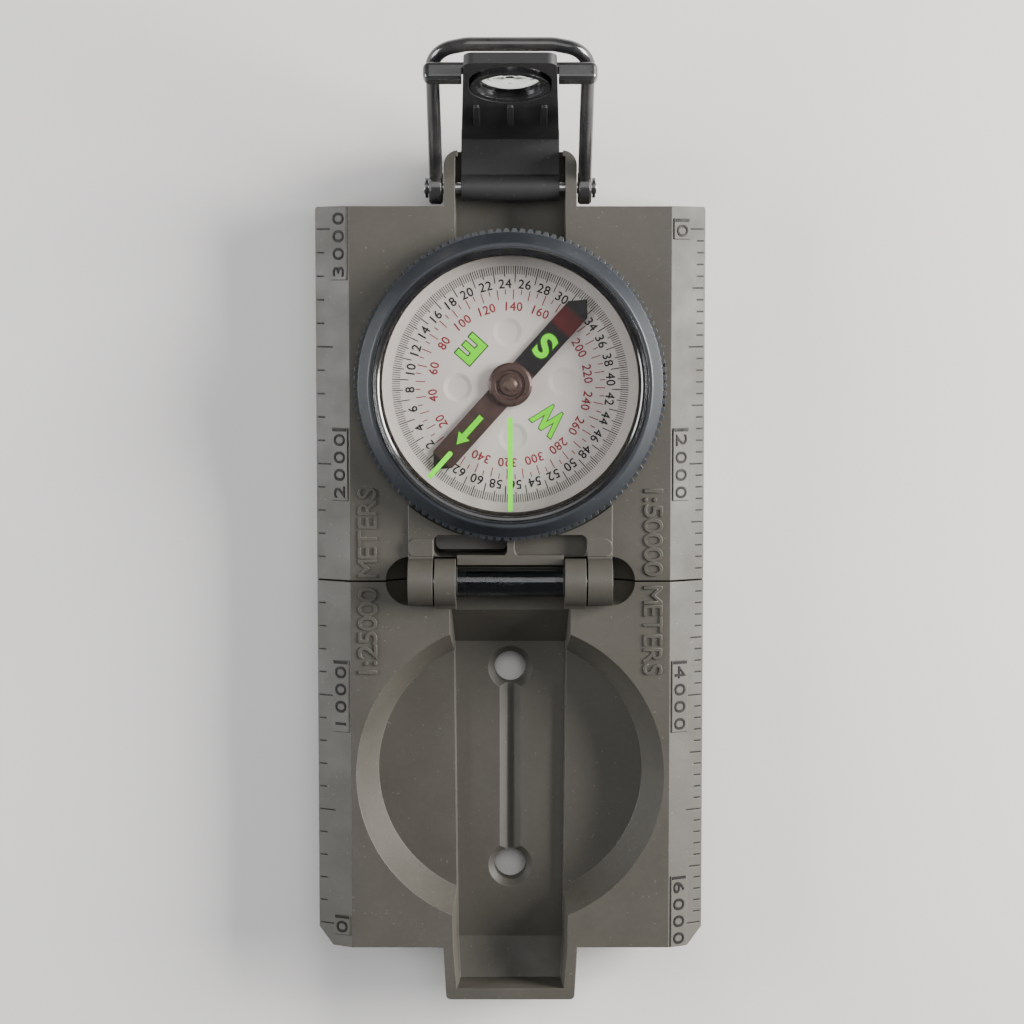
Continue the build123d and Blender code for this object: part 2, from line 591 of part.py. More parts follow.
def lid_shell():
    body = half_body(LID_FRONT, LID_END, LID_RIM_Z, LID_CORNER)
    wide = HALF_W - SHELL_WALL
    body -= box((-wide, wide), (LID_FRONT - SHELL_WALL, LID_END + SHELL_WALL), (0, LID_SKIN_Z))
    bowl = disc(RECESS_MOUTH_R + SHELL_WALL, RECESS_FLOOR - 1.8, THICK, 0, RECESS_Y)
    body += bowl & half_body(LID_FRONT, LID_END, 0, LID_CORNER)
    # hinge end block, straight spine and tongue
    block_x = TROUGH_END + SHELL_WALL
    body += box((-block_x, block_x), (LID_FRONT, LID_FRONT - HINGE_BLOCK), (LID_RIM_Z, THICK))
    body += box((-SPINE_HALF, SPINE_HALF), (LID_FRONT, LID_END), (0, THICK))
    near, far = LID_TONGUE_HALF
    root = LID_END + 1
    tongue = slab([(-near, root), (near, root), (far, LID_TONGUE_END), (-far, LID_TONGUE_END)], 0, THICK)
    body += fillet(tongue.edges().filter_by(Axis.Z).sort_by(Axis.Y)[:2], 0.8)
    # recess that takes the bezel when the lid is shut
    body -= turned_at(RECESS_Y, [(0, RECESS_FLOOR), (RECESS_FLOOR_R, RECESS_FLOOR), (RECESS_MOUTH_R, THICK),
                                 (RECESS_MOUTH_R, THICK + 1), (0, THICK + 1)])
    # channel for the lens bracket, with drafted walls
    ramp_slope = (SILL_END - RAMP_FOOT) / (SILL_Z - CHANNEL_FLOOR)
    top = THICK + 0.1
    ramp_top = RAMP_FOOT + ramp_slope * (top - CHANNEL_FLOOR)
    ends = [make_face(Polyline(*[(x, y, z) for x, y in channel_outline(inset, start)], close=True))
            for z, inset, start in ((CHANNEL_FLOOR, CHANNEL_DRAFT, RAMP_FOOT), (top, 0.0, ramp_top))]
    body -= loft(ends)
    # in the tongue its floor rises to the end
    low, back = CHANNEL_FLOOR - 0.5, CHANNEL_END - 0.4
    rise = [(LID_END, low), (LID_END, CHANNEL_FLOOR), (back, CHANNEL_FLOOR + TONGUE_RISE), (back, low)]
    body += side_prism(rise, 0.3 - CHANNEL_HALF[1], CHANNEL_HALF[1] - 0.3)
    # sight line: a hole at each end and a groove with sloping sides between them
    for y in SIGHT_HOLES:
        body -= disc(SIGHT_HOLE_R, -1, THICK, 0, y)
        body -= Pos(0, y, CHANNEL_FLOOR - 0.5) * Cone(SIGHT_HOLE_R, SIGHT_HOLE_R + SIGHT_CHAMFER, 1.001)
    groove_z = CHANNEL_FLOOR - SIGHT_GROOVE_DEPTH
    groove = [(-SIGHT_GROOVE_HALF, CHANNEL_FLOOR + 0.01), (SIGHT_GROOVE_HALF, CHANNEL_FLOOR + 0.01),
              (SIGHT_GROOVE_FLOOR, groove_z), (-SIGHT_GROOVE_FLOOR, groove_z)]
    start = SIGHT_HOLES[1]
    face = make_face(Polyline(*[(x, start, z) for x, z in groove], close=True))
    body -= extrude(face, 2 * SIGHT_HOLE_AT, dir=(0, 1, 0))
    # half of the hinge trough, with a sill under the level, then the inner knuckles
    sill_x = (-LID_KNUCKLE[0], LID_KNUCKLE[0])
    body -= box(sill_x, (LID_FRONT, SILL_END), (SILL_Z, THICK + 1))
    body += box(sill_x, (LID_FRONT, SILL_END), (0, SILL_Z))
    body -= trough()
    web = side_prism([(HINGE_Y, 9.6), (-38.4, 6.0), (-38.4, THICK), (HINGE_Y, HINGE_Z + 2)], *LID_KNUCKLE)
    knuckle = web + rod(KNUCKLE_R, *LID_KNUCKLE, HINGE_Y, HINGE_Z)
    body += both_sides(knuckle)
    body -= both_sides(rod(PIN_R + RUNNING_GAP, PIN_REACH[0] - 0.1, 14, HINGE_Y, HINGE_Z))
    for blade in scale_ticks(-1, LID_END, LID_FRONT) + scale_ticks(1, LID_END, LID_FRONT):
        body -= blade
    return body


def turned_at(y, points):
    return Pos(0, y, 0) * turned(points)


# ---- hinge pins and level ----
def hinge_pins():
    pin = rod(PIN_R, *PIN_REACH, HINGE_Y, HINGE_Z)
    return [pin, mirror(pin, Plane.YZ)]


def level_vial():
    tube = rod(VIAL_R, -VIAL_HALF, VIAL_HALF, HINGE_Y, HINGE_Z)
    return tube - rod(VIAL_BORE_R, -VIAL_HALF - 1, VIAL_HALF + 1, HINGE_Y, HINGE_Z)


def vial_plugs():
    plug = rod(VIAL_BORE_R, PLUG_IN, VIAL_HALF, HINGE_Y, HINGE_Z)
    plug += rod(VIAL_R, VIAL_HALF, LID_KNUCKLE[0], HINGE_Y, HINGE_Z)
    return [plug, mirror(plug, Plane.YZ)]


def vial_liquid():
    """The level's filling, with the bubble left out of it at the top."""
    bubble = Pos(0, HINGE_Y, HINGE_Z + VIAL_BORE_R) * scale(Sphere(1), by=(2.4, 1.1, 1.2))
    return rod(VIAL_BORE_R, -PLUG_IN, PLUG_IN, HINGE_Y, HINGE_Z) - bubble


def capsule_window():
    return disc(BOWL_R, WINDOW_Z, LIP_Z)


def capsule_gasket():
    return ring(BOWL_R, BOWL_R - BOWL_WALL, GASKET_Z, WINDOW_Z)


def filler_plug():
    return disc(FILLER_R, BOWL_BASE, BOWL_BASE + BOWL_FLOOR_T, *FILLER_AT)


PIECES = [
    case_body, base_plate, base_screws, capsule_bowl, capsule_gasket, capsule_window, index_line, pivot_post,
    filler_plug, bezel_retainer, click_spring, hinge_pins, rear_pin, rear_pin_clips, bezel_ring, bezel_crystal,
    crystal_retaining_ring, bezel_line, card_disc, pointer_bar, bar_magnet, hub_cap, jewel_bearing, lens_strap,
    lens_holder, magnifier_lens, lens_retaining_ring, thumb_loop, lid_shell,
    level_vial, vial_liquid, vial_plugs,
]

os.makedirs("parts", exist_ok=True)
for piece in PIECES:
    made = piece()
    save(piece.__name__, *(made if isinstance(made, list) else [made]))
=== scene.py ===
import math

import bmesh
import bpy
from mathutils import Matrix, Vector

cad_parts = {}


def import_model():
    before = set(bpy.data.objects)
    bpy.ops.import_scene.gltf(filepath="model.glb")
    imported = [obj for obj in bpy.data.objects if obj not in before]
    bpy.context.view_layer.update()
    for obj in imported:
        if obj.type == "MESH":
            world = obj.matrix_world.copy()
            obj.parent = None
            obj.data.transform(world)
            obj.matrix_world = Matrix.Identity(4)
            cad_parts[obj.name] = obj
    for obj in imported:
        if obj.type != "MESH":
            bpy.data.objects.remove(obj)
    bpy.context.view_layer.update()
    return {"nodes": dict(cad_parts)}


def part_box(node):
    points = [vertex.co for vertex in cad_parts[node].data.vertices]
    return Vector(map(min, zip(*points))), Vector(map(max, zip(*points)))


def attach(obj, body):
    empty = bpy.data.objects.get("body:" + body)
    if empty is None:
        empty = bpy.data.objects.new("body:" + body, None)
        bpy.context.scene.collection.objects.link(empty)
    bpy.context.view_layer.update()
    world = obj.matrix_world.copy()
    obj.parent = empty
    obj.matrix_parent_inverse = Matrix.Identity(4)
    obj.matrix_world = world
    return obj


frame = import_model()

# Looks of a folding sighting compass, opened flat. Lengths are in metres, in the row frame: the origin is
# on the underside below the dial's pivot, +Z is up, +Y runs towards the lens bracket and +X to the right.

MM = 0.001

# ---- places taken from the frame ----
CARD_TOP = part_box("card_disc")[1].z
BAR_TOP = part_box("pointer_bar")[1].z
HALF_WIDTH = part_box("case_body")[1].x
HINGE_Y = sum(corner.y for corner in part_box("hinge_pins")) / 2

# ---- driving dimensions ----
FACE_Z = 12.5 * MM             # main face of case and lid
BEVEL_WIDTH = 5.9 * MM         # the sloping edge with a map scale on it
BEVEL_DROP = 3.2 * MM
CASE_REAR = 30.2 * MM
LID_END = HINGE_Y - 63.8 * MM
NORTH_BEARING = 222.0          # where the card's north points, clockwise from +Y, in degrees
SCALE_LENGTH = 120.0 * MM      # each map scale is this long, centred on the hinge
DIMPLE_AT = 9.0 * MM           # the card's four round dimples, from its centre
DIMPLE_R = 2.3 * MM
DIMPLE_RIM = 0.16 * MM         # how high the bump at a dimple's rim stands

PRINT_T = 0.02 * MM            # thickness of a printed layer
SINK = 0.01 * MM               # how far a printed layer is set into what it is printed on

# ---- paint of the pointer: where each coat starts and where it is full, measured along the south arm ----
BLACK_SOUTH = (3.3 * MM, 4.3 * MM)
RED_INNER = (12.6 * MM, 13.4 * MM)
RED_OUTER = (17.0 * MM, 16.2 * MM)
BLACK_NORTH = (-17.2 * MM, -17.7 * MM)

# ---- colours, linear ----
OLIVE = (0.060, 0.0555, 0.0445)
OLIVE_DARK = (0.047, 0.0435, 0.035)
OLIVE_WORN = (0.145, 0.137, 0.116)
LUME_GREEN = (0.14, 0.80, 0.001)


# ---- materials ----
class Look:
    """A Principled material, with short ways to add nodes to it."""

    def __init__(self, name, color, roughness, metallic=0.0, **sockets):
        self.material = bpy.data.materials.new(name)
        self.material.use_nodes = True
        self.tree = self.material.node_tree
        self.tree.nodes.clear()
        self.output = self.node("ShaderNodeOutputMaterial")
        self.shader = self.node("ShaderNodeBsdfPrincipled")
        self.link(self.shader.outputs["BSDF"], self.output.inputs["Surface"])
        self.place = self.node("ShaderNodeTexCoord").outputs["Object"]
        self.put("Base Color", (*color, 1.0))
        self.put("Roughness", roughness)
        self.put("Metallic", metallic)
        for socket, value in sockets.items():
            self.put(socket.replace("_", " "), value)

    def node(self, kind, **settings):
        made = self.tree.nodes.new(kind)
        for key, value in settings.items():
            setattr(made, key, value)
        return made

    def link(self, source, target):
        self.tree.links.new(source, target)

    def put(self, socket, value):
        """Sets one of the shader's sockets, or links a node's output to it."""
        target = self.shader.inputs[socket]
        if isinstance(value, bpy.types.NodeSocket):
            self.link(value, target)
        else:
            target.default_value = value

    def math(self, operation, a, b=0.0, c=0.0):
        made = self.node("ShaderNodeMath", operation=operation)
        for socket, value in zip(made.inputs, (a, b, c)):
            if isinstance(value, bpy.types.NodeSocket):
                self.link(value, socket)
            else:
                socket.default_value = value
        return made.outputs[0]

    def noise(self, scale, detail=2.0, stretch=(1, 1, 1)):
        """Noise in the piece's own coordinates, with scale features to the metre."""
        mapping = self.node("ShaderNodeMapping")
        mapping.inputs["Scale"].default_value = stretch
        self.link(self.place, mapping.inputs["Vector"])
        texture = self.node("ShaderNodeTexNoise")
        texture.inputs["Scale"].default_value = scale
        texture.inputs["Detail"].default_value = detail
        self.link(mapping.outputs["Vector"], texture.inputs["Vector"])
        return texture.outputs["Fac"]

    def remap(self, value, low, high, out_low=0.0, out_high=1.0):
        made = self.node("ShaderNodeMapRange")
        self.link(value, made.inputs["Value"])
        limits = {"From Min": low, "From Max": high, "To Min": out_low, "To Max": out_high}
        for socket, number in limits.items():
            made.inputs[socket].default_value = number
        return made.outputs["Result"]

    def mix(self, factor, a, b):
        """Colour a where the factor is 0, and b where it is 1."""
        made = self.node("ShaderNodeMix", data_type="RGBA")
        self.link(factor, made.inputs[0])
        for socket, value in ((made.inputs[6], a), (made.inputs[7], b)):
            if isinstance(value, bpy.types.NodeSocket):
                self.link(value, socket)
            else:
                socket.default_value = (*value, 1.0)
        return made.outputs[2]

    def along(self, direction):
        """Distance of a point along a direction from the origin, in metres."""
        made = self.node("ShaderNodeVectorMath", operation="DOT_PRODUCT")
        self.link(self.place, made.inputs[0])
        made.inputs[1].default_value = direction
        return made.outputs["Value"]

    def radius_from(self, x, y):
        """Distance of a point from an upright axis, in metres."""
        flat = self.node("ShaderNodeVectorMath", operation="MULTIPLY_ADD")
        self.link(self.place, flat.inputs[0])
        flat.inputs[1].default_value = (1, 1, 0)
        flat.inputs[2].default_value = (-x, -y, 0)
        length = self.node("ShaderNodeVectorMath", operation="LENGTH")
        self.link(flat.outputs["Vector"], length.inputs[0])
        return length.outputs["Value"]

    def rounded(self, radius):
        """The surface's normal, as if its edges were rounded."""
        made = self.node("ShaderNodeBevel", samples=6)
        made.inputs["Radius"].default_value = radius
        return made.outputs["Normal"]

    def edges(self, radius, sharp=0.75):
        """1 on the edges of the shape and 0 on its flats."""
        made = self.node("ShaderNodeVectorMath", operation="DOT_PRODUCT")
        self.link(self.rounded(radius), made.inputs[0])
        self.link(self.node("ShaderNodeNewGeometry").outputs["Normal"], made.inputs[1])
        return self.remap(made.outputs["Value"], 0.985, sharp)

    def bump(self, height, depth, strength=1.0, under=None):
        made = self.node("ShaderNodeBump")
        made.inputs["Strength"].default_value = strength
        made.inputs["Distance"].default_value = depth
        self.link(height, made.inputs["Height"])
        if under is not None:
            self.link(under, made.inputs["Normal"])
        return made.outputs["Normal"]


def moulded(name, color, dark, worn, roughness, grain=0.012 * MM, wear=0.6, round_by=0.18 * MM):
    """A moulded or painted skin: soft mottling, a fine grain, pale specks and rubbed edges."""
    look = Look(name, color, roughness)
    broad = look.remap(look.noise(55, 4.0), 0.35, 0.68)
    fine = look.remap(look.noise(900, 3.0), 0.35, 0.7)
    tone = look.mix(look.math("MULTIPLY_ADD", fine, 0.35, look.math("MULTIPLY", broad, 0.65)), dark, color)
    specks = look.remap(look.noise(1700, 1.0), 0.735, 0.765, 0.0, 0.45)
    tone = look.mix(specks, tone, worn)
    patches = look.remap(look.noise(260, 4.0), 0.42, 0.62, 0.15, wear)
    rub = look.math("MULTIPLY", look.edges(0.22 * MM), patches)
    look.put("Base Color", look.mix(rub, tone, worn))
    rough = look.remap(look.noise(140, 3.0), 0.3, 0.7, roughness - 0.07, roughness + 0.07)
    look.put("Roughness", rough)
    grained = look.bump(look.noise(3600, 2.0), grain, 0.9, look.rounded(round_by))
    look.put("Normal", look.bump(look.noise(420, 2.0), 2.0 * grain, 0.35, grained))
    return look.material


def metal(name, color, roughness, stretch, wear_to):
    """Bare metal with a fine directional finish and a duller tone here and there."""
    look = Look(name, color, roughness, metallic=1.0)
    lines = look.noise(2600, 2.0, stretch)
    tarnish = look.remap(look.noise(240, 4.0), 0.4, 0.7)
    look.put("Base Color", look.mix(tarnish, color, wear_to))
    look.put("Roughness", look.remap(lines, 0.3, 0.7, roughness - 0.08, roughness + 0.1))
    look.put("Normal", look.bump(lines, 0.006 * MM, 0.6, look.rounded(0.12 * MM)))
    return look.material


def gloss(name, color, worn, roughness, orange_peel=0.010 * MM, round_by=0.12 * MM, wear=0.35):
    """Smooth glossy paint or plastic, with a slight ripple, faint smudges and rubbed edges."""
    look = Look(name, color, roughness, Coat_Weight=0.5, Coat_Roughness=0.12)
    patches = look.remap(look.noise(420, 4.0), 0.45, 0.65, 0.0, wear)
    rub = look.math("MULTIPLY", look.edges(0.15 * MM), patches)
    mottle = look.remap(look.noise(180, 3.0), 0.35, 0.7, 0.0, 0.25)
    look.put("Base Color", look.mix(rub, look.mix(mottle, color, worn), worn))
    look.put("Roughness", look.remap(look.noise(320, 4.0), 0.35, 0.7, roughness - 0.05, roughness + 0.09))
    look.put("Normal", look.bump(look.noise(900, 1.0), orange_peel, 0.5, look.rounded(round_by)))
    return look.material


def clear_glass(name, tint, ior=1.5, smudge=0.05):
    """Thin clear glass: light passes straight through, and the surface shines by its angle."""
    look = Look(name, tint, 0.03)
    see = look.node("ShaderNodeBsdfTransparent")
    see.inputs["Color"].default_value = (*tint, 1.0)
    shine = look.node("ShaderNodeBsdfGlossy")
    shine.inputs["Color"].default_value = (1, 1, 1, 1)
    smudges = look.remap(look.noise(210, 5.0), 0.45, 0.75, 0.015, 0.015 + smudge)
    look.link(smudges, shine.inputs["Roughness"])
    fresnel = look.node("ShaderNodeFresnel")
    fresnel.inputs["IOR"].default_value = ior
    # only the face where light enters shines, because the light isn't bent inside
    entering = look.math("SUBTRACT", 1.0, look.node("ShaderNodeNewGeometry").outputs["Backfacing"])
    mixed = look.node("ShaderNodeMixShader")
    look.link(look.math("MULTIPLY", fresnel.outputs["Fac"], entering), mixed.inputs["Fac"])
    look.link(see.outputs["BSDF"], mixed.inputs[1])
    look.link(shine.outputs["BSDF"], mixed.inputs[2])
    look.link(mixed.outputs["Shader"], look.output.inputs["Surface"])
    look.tree.nodes.remove(look.shader)
    return look.material


def solid_glass(name, tint, roughness=0.02, ripple=0.008 * MM):
    """Thick glass that bends what is seen through it."""
    look = Look(name, tint, roughness, Transmission_Weight=1.0, IOR=1.5)
    look.put("Roughness", look.remap(look.noise(300, 4.0), 0.4, 0.75, roughness, roughness + 0.06))
    look.put("Normal", look.bump(look.noise(260, 1.0), ripple, 0.3))
    return look.material


def luminous(name, color, strength):
    """A grainy phosphor paint with a painted glow: emission that brightens it beyond what the lamps give."""
    look = Look(name, color, 0.45, Specular_IOR_Level=0.15)
    grain = look.remap(look.noise(2600, 3.0), 0.3, 0.7, 0.75, 1.0)
    patch = look.remap(look.noise(420, 2.0), 0.3, 0.7, 0.85, 1.0)
    look.put("Base Color", look.mix(grain, tuple(0.7 * c for c in color), color))
    # painted glow: the emission makes the paint shine though it is no lamp
    look.put("Emission Color", (*color, 1.0))
    look.put("Emission Strength", look.math("MULTIPLY", look.math("MULTIPLY", grain, patch), strength))
    look.put("Normal", look.bump(look.noise(3000, 2.0), 0.01 * MM, 0.6))
    return look.material


def ink(name, color, faded, cover=0.75, gloss_level=0.5):
    """Printing ink, a little thin in places."""
    look = Look(name, color, 0.5, Specular_IOR_Level=gloss_level)
    thin = look.remap(look.noise(1500, 3.0), 0.5, 0.8, 0.0, 1.0 - cover)
    look.put("Base Color", look.mix(thin, color, faded))
    look.put("Roughness", look.remap(look.noise(700, 2.0), 0.3, 0.7, 0.4, 0.6))
    look.put("Normal", look.bump(look.noise(2400, 2.0), 0.004 * MM, 0.5))
    return look.material


def enamel(name, color, shade, dimples=()):
    """A satin white face: faint clouds, a very fine tooth, and a softly pressed rim about each dimple."""
    look = Look(name, color, 0.42)
    under = look.rounded(0.1 * MM)
    for x, y, _ in dimples:
        rim = look.remap(look.radius_from(x, y), DIMPLE_R - 0.6 * MM, DIMPLE_R + 0.2 * MM)
        under = look.bump(rim, DIMPLE_RIM, 1.0, under)
    clouds = look.remap(look.noise(110, 3.0), 0.35, 0.7)
    fine = look.remap(look.noise(2200, 2.0), 0.35, 0.7, 0.0, 0.35)
    look.put("Base Color", look.mix(fine, look.mix(clouds, color, shade), shade))
    look.put("Roughness", look.remap(look.noise(500, 2.0), 0.3, 0.7, 0.34, 0.5))
    look.put("Normal", look.bump(look.noise(1900, 2.0), 0.006 * MM, 0.5, under))
    return look.material


def direction_of(bearing):
    """Unit vector of a bearing, clockwise from +Y as seen from above."""
    angle = math.radians(bearing)
    return Vector((math.sin(angle), math.cos(angle), 0))


def pointer_paint(name):
    """Brown paint on the north arm, black with a dark red patch on the south arm, and black tips."""
    brown, umber = (0.082, 0.047, 0.039), (0.055, 0.031, 0.026)
    black, red = (0.010, 0.009, 0.009), (0.110, 0.008, 0.007)
    look = Look(name, brown, 0.38)
    south = look.along(-direction_of(NORTH_BEARING))
    base = look.mix(look.remap(look.noise(500, 4.0), 0.35, 0.7), brown, umber)
    wobble = look.math("MULTIPLY_ADD", look.noise(900, 2.0), 0.5 * MM, south)
    base = look.mix(look.remap(wobble, *BLACK_SOUTH), base, black)
    patch = look.math("MULTIPLY", look.remap(wobble, *RED_INNER), look.remap(wobble, *RED_OUTER))
    base = look.mix(patch, base, red)
    look.put("Base Color", look.mix(look.remap(south, *BLACK_NORTH), base, black))
    look.put("Roughness", look.remap(look.noise(800, 3.0), 0.3, 0.7, 0.3, 0.5))
    look.put("Normal", look.bump(look.noise(2600, 2.0), 0.006 * MM, 0.6, look.rounded(0.12 * MM)))
    return look.material


def turned_metal(name, color, groove_color, rings_per_mm=5.0):
    """A lathe-turned face: fine rings about the dial's axis."""
    look = Look(name, color, 0.32, metallic=0.35)
    phase = look.math("MULTIPLY", look.radius_from(0, 0), 2 * math.pi * rings_per_mm / MM)
    rings = look.math("MULTIPLY_ADD", look.math("SINE", phase), 0.5, 0.5)
    look.put("Base Color", look.mix(look.math("MULTIPLY", rings, 0.45), color, groove_color))
    look.put("Roughness", look.remap(look.noise(900, 3.0), 0.3, 0.7, 0.24, 0.42))
    look.put("Normal", look.bump(rings, 0.012 * MM, 0.5, look.rounded(0.1 * MM)))
    return look.material


# ---- meshes ----
def finish_piece(name, bm, body, material):
    """Turns a bmesh into a piece that rides on a body."""
    bmesh.ops.recalc_face_normals(bm, faces=bm.faces)
    mesh = bpy.data.meshes.new(name)
    bm.to_mesh(mesh)
    bm.free()
    mesh.materials.append(material)
    piece = bpy.data.objects.new(name, mesh)
    bpy.context.scene.collection.objects.link(piece)
    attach(piece, body)
    return piece


def add_block(bm, matrix, size):
    """A box of the given size about the matrix's origin."""
    bmesh.ops.create_cube(bm, size=1.0, matrix=matrix @ Matrix.Diagonal((*size, 1.0)))


def add_prism(bm, outline, z0, z1, matrix=Matrix.Identity(4)):
    """A closed prism on an (x, y) outline."""
    low = [bm.verts.new(matrix @ Vector((x, y, z0))) for x, y in outline]
    high = [bm.verts.new(matrix @ Vector((x, y, z1))) for x, y in outline]
    bm.faces.new(list(reversed(low)))
    bm.faces.new(high)
    count = len(outline)
    for i in range(count):
        j = (i + 1) % count
        bm.faces.new((low[i], low[j], high[j], high[i]))


def glyph_mesh(character, bold, depth, resolution, soft=0.0):
    """One character as a mesh, in the font's own units; soft rounds its edges and thickens its strokes."""
    curve = bpy.data.curves.new("glyph", "FONT")
    curve.body = character
    curve.align_x = "CENTER"
    curve.extrude = depth / 2
    curve.offset = bold
    curve.bevel_depth = soft
    curve.bevel_resolution = 1
    curve.resolution_u = resolution
    holder = bpy.data.objects.new("glyph", curve)
    mesh = bpy.data.meshes.new_from_object(holder)
    bpy.data.objects.remove(holder)
    bpy.data.curves.remove(curve)
    return mesh


def cap_height():
    """Height of a capital in the font's own units."""
    mesh = glyph_mesh("H", 0.0, 0.0, 2)
    heights = [v.co.y for v in mesh.vertices]
    return max(heights) - min(heights)


CAP = cap_height()
SLIM = "1:"                    # characters set closer than the rest in a legend


def text_places(text, pitch, slim):
    """The middle of each character along a line of lettering that is centred on 0."""
    widths = [pitch * (slim if character in SLIM else 1.0) for character in text]
    middles = [sum(widths[:i]) + width / 2 for i, width in enumerate(widths)]
    return [middle - sum(widths) / 2 for middle in middles]


def add_text(bm, text, matrix, height, pitch, thickness,
             bold=0.0, widen=1.0, resolution=3, slim=1.0, soft=0.0):
    """Lettering centred on the matrix's origin, its right along +X and its top along +Y."""
    factor = height / CAP
    for character, x in zip(text, text_places(text, pitch, slim)):
        mesh = glyph_mesh(character, bold, thickness / factor, resolution, soft)
        middle = Matrix.Translation((x, -height / 2, 0))
        mesh.transform(matrix @ middle @ Matrix.Diagonal((widen * factor, factor, factor, 1.0)))
        bm.from_mesh(mesh)
        bpy.data.meshes.remove(mesh)


# ---- the dial's printing ----
def on_dial(bearing, radius, z):
    """A place on the card: bearing clockwise from its north, with +Y pointing outward."""
    turn = math.radians(-(NORTH_BEARING + bearing))
    return Matrix.Rotation(turn, 4, "Z") @ Matrix.Translation((0, radius, z))


def add_dial_tick(bm, bearing, inner, outer, width):
    at = on_dial(bearing, (inner + outer) / 2, CARD_TOP + PRINT_T / 2 - SINK / 2)
    add_block(bm, at, (width, outer - inner, PRINT_T + SINK))


MIL_TICKS = 320                # one every 20 of the circle's 6400 mils
TICK_OUTER = 20.2 * MM
TICK_INNER = 18.8 * MM
EVEN_INNER = 18.35 * MM
ODD_INNER = 17.35 * MM
MIL_LABEL_R = 17.15 * MM
MIL_LABEL_H = 1.5 * MM
DEGREE_OUTER = 16.2 * MM
DEGREE_INNER = 14.5 * MM
DEGREE_SHORT = 15.35 * MM
DEGREE_LABEL_R = 13.3 * MM
DEGREE_LABEL_H = 1.45 * MM
NUMBER_SOFT = 0.014            # thickening of the numbers' strokes, in the font's units
SOUTH = 180.0


def mil_printing():
    """The outer scale: a tick every 20 mils, a long one at each odd hundred, a number at each even one."""
    bm = bmesh.new()
    for i in range(MIL_TICKS):
        bearing = 360.0 * i / MIL_TICKS
        inner = TICK_INNER if i % 5 else (ODD_INNER if i % 2 else EVEN_INNER)
        width = 0.13 * MM if i % 5 else 0.17 * MM
        add_dial_tick(bm, bearing, inner, TICK_OUTER, width)
    for hundreds in range(2, 64, 2):
        bearing = 360.0 * hundreds / 64
        if bearing == SOUTH:
            continue
        at = on_dial(bearing, MIL_LABEL_R, CARD_TOP)
        add_text(bm, str(hundreds), at, MIL_LABEL_H, 1.16 * MM, 2 * PRINT_T, soft=NUMBER_SOFT)
    return bm


def degree_printing():
    """The inner scale, in red: a tick every 5 degrees and a number every 20."""
    bm = bmesh.new()
    for bearing in range(0, 360, 5):
        inner = DEGREE_SHORT if bearing % 10 else DEGREE_INNER
        add_dial_tick(bm, bearing, inner, DEGREE_OUTER, 0.17 * MM)
    for bearing in range(20, 360, 20):
        if bearing == SOUTH:
            continue
        at = on_dial(bearing, DEGREE_LABEL_R, CARD_TOP)
        add_text(bm, str(bearing), at, DEGREE_LABEL_H, 1.12 * MM, 2 * PRINT_T, soft=NUMBER_SOFT)
    return bm


# ---- luminous markings of the card ----
LETTER_R = 8.85 * MM
LETTER_H = 4.1 * MM
LETTER_BOLD = 0.034
OUTLINE_BOLD = 0.064
LETTERS = (("E", 90.0, 1.2), ("S", 180.0, 1.0), ("W", 270.0, 0.72))
ARROW_TAIL = 7.35 * MM
ARROW_NECK = 11.8 * MM
ARROW_TIP = 13.7 * MM
ARROW_HALF = 0.47 * MM
ARROW_HEAD_HALF = 1.2 * MM
OUTLINE = 0.16 * MM


def letter_place(bearing, z):
    """Letters stand upright to a reader who faces the card's north."""
    upright = Matrix.Rotation(math.radians(-NORTH_BEARING), 4, "Z")
    offset = LETTER_R * direction_of(bearing)
    return upright @ Matrix.Translation((offset.x, offset.y, z))


def arrow_outline(grow):
    tail, neck, tip = ARROW_TAIL - grow, ARROW_NECK - grow, ARROW_TIP + 1.9 * grow
    shaft, head = ARROW_HALF + grow, ARROW_HEAD_HALF + 1.6 * grow
    right = [(shaft, tail), (shaft, neck), (head, neck)]
    return right + [(0, tip)] + [(-x, y) for x, y in reversed(right)]


def card_marks(bold, grow, rise):
    """The letters E, S and W and the north arrow, as one mesh."""
    bm = bmesh.new()
    for letter, bearing, widen in LETTERS:
        place = letter_place(bearing, (BAR_TOP if bearing == SOUTH else CARD_TOP) + rise)
        add_text(bm, letter, place, LETTER_H, 0.0, 2 * PRINT_T, bold=bold, widen=widen, resolution=8)
    add_prism(bm, arrow_outline(grow), BAR_TOP + rise - PRINT_T, BAR_TOP + rise + PRINT_T, on_dial(0, 0, 0))
    return bm


# ---- map scales on the bevels ----
BEVEL_SLOPE = math.atan2(BEVEL_DROP, BEVEL_WIDTH)
TICK_WIDTH = 0.2 * MM
TICK_EDGE = 0.35 * MM          # from the outer edge to where the marks start
TICK_CLEAR = 0.4 * MM          # no mark lies closer than this to the end of a body
PAINT_T = 0.16 * MM            # the paint in the marks, and how deep its middle lies
PAINT_DEPTH = 0.10 * MM
PAD_INNER = 27.45 * MM
PAD_WIDTH = 3.3 * MM
PAD_RISE = 0.22 * MM
PAD_SINK = 0.2 * MM
PAD_SOFT = 0.07 * MM
DIGIT_H = 2.05 * MM
DIGIT_PITCH = 2.98 * MM
DIGIT_T = 0.14 * MM
DIGIT_BACK = 0.3 * MM          # the numbers sit this far towards the lid from their pad's middle
BAR = (2.7 * MM, 0.5 * MM, 0.2 * MM)  # the bar beside each number
BAR_END = 0.35 * MM            # from the pad's rear end to the bar's middle
SIDES = {-1: (4.0 * MM, 1000), 1: (2.0 * MM, 2000)}  # spacing of the marks, and metres between two numbers


def on_bevel(side, inward, y, lift):
    """A place on a bevel, inward along the slope from its outer edge: +X points outward and +Z off it."""
    corner = Matrix.Translation((side * HALF_WIDTH, y, FACE_Z - BEVEL_DROP))
    facing = Matrix.Rotation(math.pi if side < 0 else 0.0, 4, "Z")
    slope = Matrix.Rotation(BEVEL_SLOPE, 4, "Y")
    return corner @ facing @ slope @ Matrix.Translation((-inward, 0, lift))


